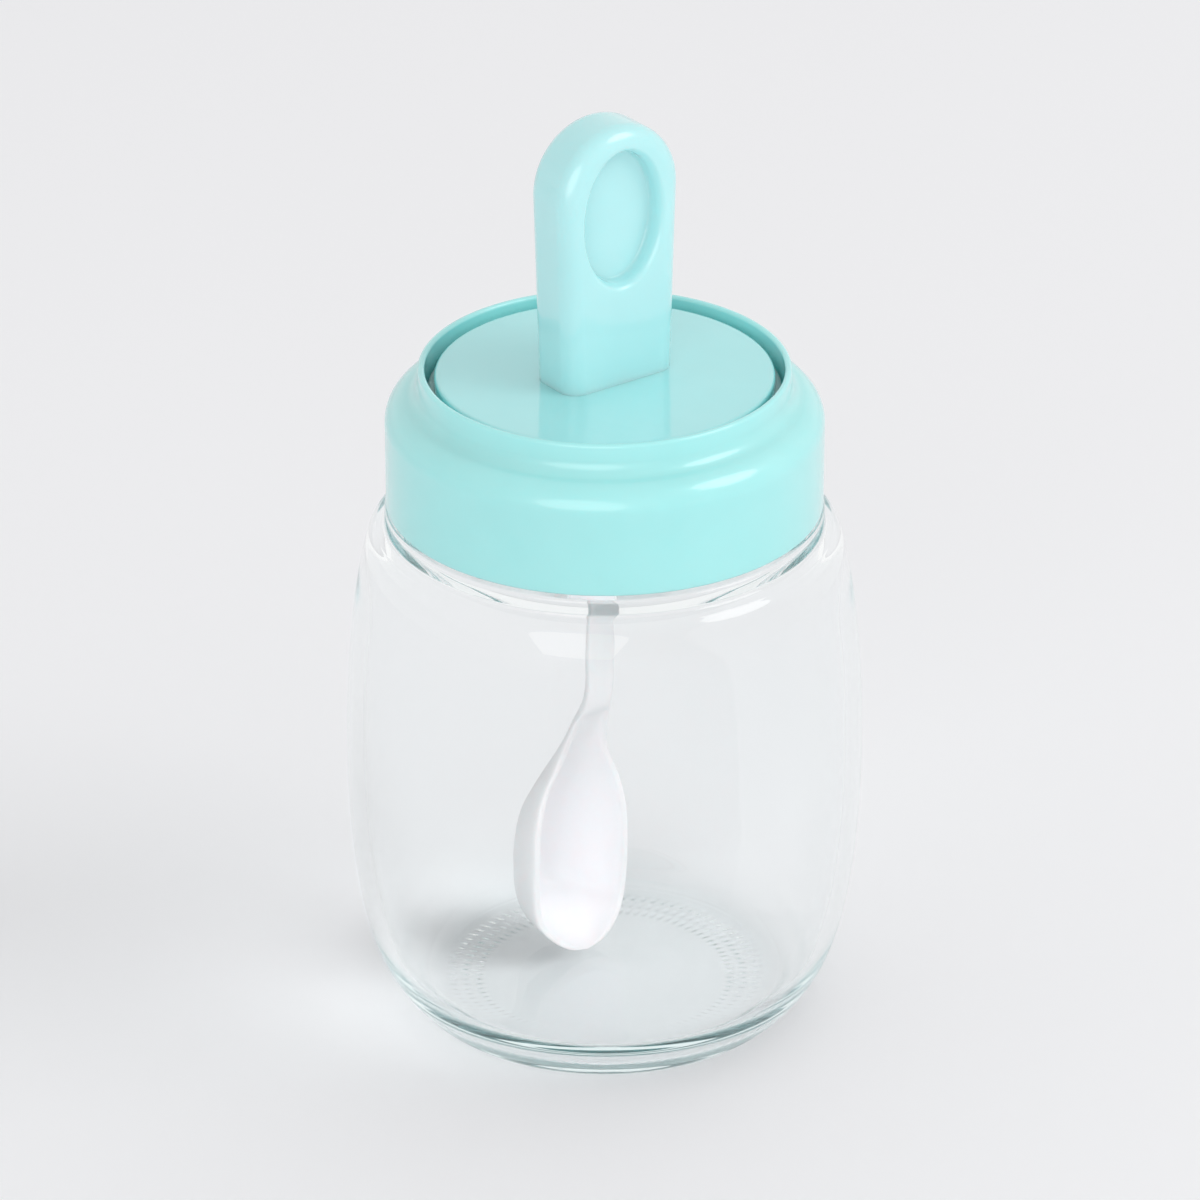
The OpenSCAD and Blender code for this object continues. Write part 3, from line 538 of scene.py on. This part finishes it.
# The tenon runs up into the foot, and its bore, which takes the spoon's root, ends just short of its top.
tenon = ([(0, DISC_TOP + BORE_SUNK), (TENON_BORE_R, DISC_TOP + BORE_SUNK), (TENON_BORE_R, PLUG_Z)]
         + arc((TENON_R - TENON_EDGE_R, PLUG_Z + TENON_EDGE_R), TENON_EDGE_R, -90, 0, 5)
         + [(TENON_R, DISC_TOP - 0.5), (TENON_R, DISC_TOP + TENON_SUNK), (0, DISC_TOP + TENON_SUNK)])
tenon_points, tenon_faces = turned_mesh(tenon, 64, first=len(points))
grip = new_piece("grip", points + tenon_points, faces + tenon_faces)

# The same polypropylene with a paler base, partly real and partly painted sheen for the grip's lit front
# face.
# It is a thick moulding whose polished faces hold wide soft highlights.
paler_aqua_painted_sheen = moulded_plastic("paler_aqua_polypropylene_painted_sheen", "#B3E9EB", "#B9EDEF", drift=15, peel=1.6,
                            rough=(0.3, 0.36), ior=1.55, coat=1.0, soak=2.4)
grip.data.materials.append(paler_aqua_painted_sheen)
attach(grip, "lid")
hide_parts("grip")

# ---- Spoon ------------------------------------------------------------------------------------------
# A long-stemmed spoon moulded in white polypropylene. Its bowl is deep and set behind the stem, and the
# round root above its flange is pushed up into the grip's tenon.

BOWL_W, BOWL_L, BOWL_D, BOWL_WALL, BOWL_SET = 18.8, 41.0, 12.0, 1.3, 6.3
STEM_W, STEM_T, FLANGE_R, FLANGE_T, ROOT_R, ROOT_L = 4.8, 2.6, 4.2, 1.4, 2.4, 12.0
FLANGE_EDGE_R, FLANGE_TOP_R, ROOT_EDGE_R = 0.3, 0.2, 0.4
TIP_Z = FLOOR_T + 1.0
BOWL_TOP = TIP_Z + BOWL_L
STEM_L = PLUG_Z - FLANGE_T - BOWL_TOP
EDGE_SOFTNESS = 0.28

# Stations up the bowl: how far up, and the shares of its width, its depth behind the rim, the rim's set
# behind the stem, and the depth of its hollow. Those up the stem leave out the hollow.
bowl = [(0, 0.1, 0.22, 0.73, -0.03), (0.02, 0.38, 0.6, 0.73, 0.16), (0.078, 0.69, 0.93, 0.82, 0.66),
        (0.156, 0.9, 1.08, 0.97, 1), (0.28, 0.97, 1.12, 0.98, 1.12), (0.41, 0.97, 1.09, 0.96, 1.09),
        (0.545, 0.935, 0.91, 0.97, 0.89), (0.68, 0.79, 0.6, 0.99, 0.54), (0.815, 0.52, 0.36, 0.91, 0.28),
        (0.905, 0.43, 0.25, 0.74, 0.14), (1, 0.36, 0.2, 0.51, 0.04)]
stem = [(0.045, 1.13, 1.05, 0.43), (0.1, 1.03, 0.98, 0.33), (0.17, 1.01, 0.96, 0.28), (0.3, 1, 0.94, 0.27),
        (0.56, 1, 0.93, 0.2), (1, 1, 0.93, 0)]
stations = [(TIP_Z + s * BOWL_L, w * BOWL_W / 2, d * BOWL_D, b * BOWL_SET, h * (BOWL_D - BOWL_WALL),
             min(BOWL_WALL, w * BOWL_W / 4)) for s, w, d, b, h in bowl]
stations += [(BOWL_TOP + s * STEM_L, w * STEM_W / 2, d * STEM_T, b * BOWL_SET - (1 - b) * STEM_T / 2,
              -0.12 * STEM_T, 0.06 * w * STEM_W / 2) for s, w, d, b in stem]
quarter = np.radians(np.linspace(0, 90, 81))
stack = []
for z, w, depth, front, dip, rim_w in smooth_curve(stations, 10):
    # One section, from the middle of the back past one side, across the hollow and round again
    half = np.concatenate([
        np.stack([w * np.cos(quarter[::-1]), front + depth * np.sin(quarter[::-1])], 1)[:-1],
        np.stack([np.linspace(w, w - rim_w, 31), np.full(31, front)], 1)[:-1],
        np.stack([(w - rim_w) * np.cos(quarter), front + dip * np.sin(quarter)], 1)])
    ring = np.concatenate([half, (half[-2:0:-1]) * (-1, 1)])
    # Its corners are softened, as a mould maker breaks an edge, by a running mean over a fixed width.
    gaps = np.hypot(*(np.roll(ring, -1, 0) - ring).T)
    run = np.concatenate([[0], np.cumsum(gaps)[:-1]])
    share = (gaps + np.roll(gaps, 1)) / 2
    apart = np.abs(run[:, None] - run[None, :])
    apart = np.minimum(apart, gaps.sum() - apart)
    weight = np.exp(-0.5 * (apart / min(EDGE_SOFTNESS, 0.3 * w)) ** 2) * share[None, :]
    ring = weight @ ring / weight.sum(1)[:, None]
    # Kept points: every fifth round the back and across the hollow, and more along the rim
    keep = list(range(0, 75, 5)) + list(range(75, 116, 4)) + list(range(120, 191, 5))
    keep += [len(ring) - k for k in keep[-2:0:-1]]
    stack.append([(x, y, z) for x, y in ring[keep]])
# Two smaller copies of the lowest section close the tip, and that section is itself drawn in a little.
low = np.array(stack[0])
middle = low.mean(0)
stack[:1] = [[tuple(middle + (p - middle) * (share, share, 1) + (0, 0, lift)) for p in low]
             for share, lift in ((0.55, 0.0), (0.86, 0.0), (0.97, 0.04))]
ends = [tuple(np.mean(ring, 0)) for ring in (stack[0], stack[-1])]
points, faces = ring_skin(stack, ends, reverse=True)
flange_z = PLUG_Z - FLANGE_T
root_z = PLUG_Z + ROOT_L
section = ([(0, flange_z), (FLANGE_R - 0.5, flange_z)]
           + arc((FLANGE_R - FLANGE_EDGE_R, flange_z + FLANGE_EDGE_R), FLANGE_EDGE_R, -90, 0, 5)
           + arc((FLANGE_R - FLANGE_TOP_R, PLUG_Z - FLANGE_TOP_R), FLANGE_TOP_R, 0, 90, 4)
           + [(ROOT_R + 0.2, PLUG_Z), (ROOT_R, PLUG_Z), (ROOT_R, PLUG_Z + 0.3), (ROOT_R, root_z - 0.6)]
           + arc((ROOT_R - ROOT_EDGE_R, root_z - ROOT_EDGE_R), ROOT_EDGE_R, 0, 90, 5) + [(0, root_z)])
root_points, root_faces = turned_mesh(section, 64, first=len(points))
spoon = new_piece("spoon", points + root_points, faces + root_faces)

# White polypropylene, with so little pigment that light goes 2 mm in: soft shading and a satin gloss.
white = moulded_plastic("moulded_white_polypropylene", "#FCFAFD", "#FEFCFF", drift=12, peel=1.4,
                        rough=(0.28, 0.32), ior=1.49, coat=0.0, soak=2.0)
spoon.data.materials.append(white)
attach(spoon, "lid")
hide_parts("spoon")

# ---- Floor, lamps and camera ------------------------------------------------------------------------
# A sheet of pale matt paper under soft light: a bright room, a large lamp on the right, and a larger and
# weaker one in front. The camera is on a long lens above the jar's front left.

# Half of the sheet's side, in metres
PAPER_HALF = 3
sheet = bpy.data.meshes.new("paper_sheet")
sheet.from_pydata([(x * PAPER_HALF, y * PAPER_HALF, 0) for x, y in ((-1, -1), (1, -1), (1, 1), (-1, 1))],
                  [], [(0, 1, 2, 3)])
floor = bpy.data.objects.new("paper_sheet", sheet)
bpy.context.scene.collection.objects.link(floor)
paper, tree, spot = new_material("matt_pale_paper")
drift = add_node(tree, "ShaderNodeTexNoise", {"Vector": spot, "Scale": 3.0, "Detail": 1.0})
tone = add_node(tree, "ShaderNodeValToRGB", {"Fac": drift})
for stop, shade in zip(tone.color_ramp.elements, ("#F8F8FA", "#FAFAFC")):
    stop.color = colour(shade)
matt = add_node(tree, "ShaderNodeBsdfPrincipled", {
    "Base Color": tone, "Roughness": 0.95, "Specular IOR Level": 0.1})
add_node(tree, "ShaderNodeOutputMaterial", {"Surface": matt})
sheet.materials.append(paper)

# The room is brightest low on the right and darkest overhead on the left. The camera sees the backdrop's
# own brightness instead, also by way of gloss or glass, as long as no matt surface comes between.
DARK_SIDE, DARKEST, BRIGHTEST, BACKDROP = (-0.63, 0.11, 0.77), 0.6, 1.04, 0.97
room = bpy.data.worlds.new("bright_room")
bpy.context.scene.world = room
room.use_nodes = True
# The room's light comes by bounced rays alone, so that the glass doesn't count it twice.
room.cycles.sampling_method = "NONE"
tree = room.node_tree
tree.nodes.clear()
way = add_node(tree, "ShaderNodeTexCoord").outputs["Generated"]
aside = add_node(tree, "ShaderNodeVectorMath", {0: way, 1: DARK_SIDE}, operation="DOT_PRODUCT")
strength = add_node(tree, "ShaderNodeMapRange", {"Value": aside.outputs["Value"], "From Min": -1.0,
                    "To Min": BRIGHTEST, "To Max": DARKEST})
path = add_node(tree, "ShaderNodeLightPath").outputs
seen = add_node(tree, "ShaderNodeMath", {0: path["Is Glossy Ray"], 1: path["Is Transmission Ray"]},
                operation="MAXIMUM")
seen = add_node(tree, "ShaderNodeMath", {0: seen, 1: path["Is Camera Ray"]}, operation="MAXIMUM")
direct = add_node(tree, "ShaderNodeMath", {0: path["Diffuse Depth"], 1: 0.5}, operation="LESS_THAN")
seen = add_node(tree, "ShaderNodeMath", {0: seen, 1: direct}, operation="MULTIPLY")
strength = add_node(tree, "ShaderNodeMix", {0: seen, 2: strength, 3: BACKDROP}, data_type="FLOAT")
light = add_node(tree, "ShaderNodeBackground", {"Color": colour("#FFFFFF"), "Strength": strength})
add_node(tree, "ShaderNodeOutputWorld", {"Surface": light})

# Lamps: name, azimuth from +X and elevation of where it stands, distance and size in metres, and watts. Each
# is aimed at the pot's middle, AIM_Z up.
AIM_Z = 0.06
for name, azimuth, elevation, distance, size, power in (
        ("side_lamp", -50, 41, 2.5, 1.4, 14.7), ("front_lamp", -138, 15, 2.2, 1.8, 12.5)):
    lamp = bpy.data.lights.new(name, "AREA")
    lamp.shape = "DISK"
    lamp.size = size
    lamp.energy = power
    a, e = math.radians(azimuth), math.radians(elevation)
    stand = bpy.data.objects.new(name, lamp)
    stand.location = (distance * math.cos(e) * math.cos(a), distance * math.cos(e) * math.sin(a),
                      AIM_Z + distance * math.sin(e))
    stand.rotation_euler = (math.radians(90) - e, 0, a + math.radians(90))
    # The glass lets this light through as shadow rays, so refracted rays don't count it again.
    stand.visible_transmission = False
    bpy.context.scene.collection.objects.link(stand)

# Light is turned back many times inside the neck's and the heel's thick glass before it comes out.
BOUNCES = 96
for limit in ("max_bounces", "diffuse_bounces", "glossy_bounces", "transmission_bounces",
              "transparent_max_bounces"):
    setattr(bpy.context.scene.cycles, limit, BOUNCES)

# The camera stands round to the left of the front by AZIMUTH degrees and up by ELEVATION, and is aimed a
# little below and aside of the point that these turn about.
AZIMUTH, ELEVATION, DISTANCE, TURN_Z, AIM_BELOW, AIM_ASIDE, LENS = 36, 26, 1.0, 0.0845, 0.8806, 0.0451, 199.08
a, e = math.radians(-AZIMUTH), math.radians(ELEVATION)
camera = bpy.data.objects.new("camera", bpy.data.cameras.new("camera"))
camera.location = (DISTANCE * math.sin(a) * math.cos(e), -DISTANCE * math.cos(a) * math.cos(e),
                   TURN_Z + DISTANCE * math.sin(e))
camera.rotation_euler = (math.radians(90 - ELEVATION - AIM_BELOW), 0, math.radians(AIM_ASIDE - AZIMUTH))
camera.data.lens = LENS
camera.data.sensor_width = 36
camera.data.clip_start = 0.05
bpy.context.scene.collection.objects.link(camera)
bpy.context.scene.camera = camera
bpy.context.scene.view_settings.view_transform = "Standard"
